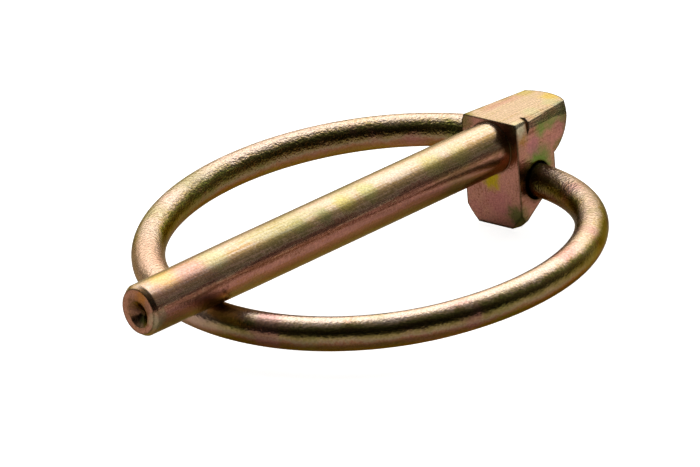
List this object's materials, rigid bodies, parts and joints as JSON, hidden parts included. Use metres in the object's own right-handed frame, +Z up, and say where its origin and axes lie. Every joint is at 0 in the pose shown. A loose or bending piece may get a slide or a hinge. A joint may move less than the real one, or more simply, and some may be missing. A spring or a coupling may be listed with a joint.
{
  "type": "lynch pin",
  "caption": "Lynch pin: plain round shank with a shouldered, forged head and a sprung wire ring that snaps round to trap the shank.",
  "frame": {"origin": "on the shank's axis, in the plane of the shoulder where the shank meets the head", "axes": "+X along the shank from the tip towards the head; +Z up, from the side of the head where the ring hangs to its flat top; +Y across the head, towards the side with the higher cross bore"},
  "size_m": [0.0689, 0.0526, 0.0126],
  "materials": {
    "pin": "forged and cropped steel, yellow-passivated zinc plating, satin with streaks of gold, pink and green",
    "ring": "hardened spring wire, yellow-passivated zinc plating, satin with a fine pebbled grain"
  },
  "bodies": {
    "pin": {"pin": "pin"},
    "ring": {"ring": "ring"}
  },
  "joints": [
    {"name": "ring_swing", "type": "hinge", "parent": "pin", "child": "ring", "pos_m": [0.00356, 0, -0.00207], "axis": [0, -1, 0], "range_deg": [0, 180], "deforming": ["ring"]}
  ]
}
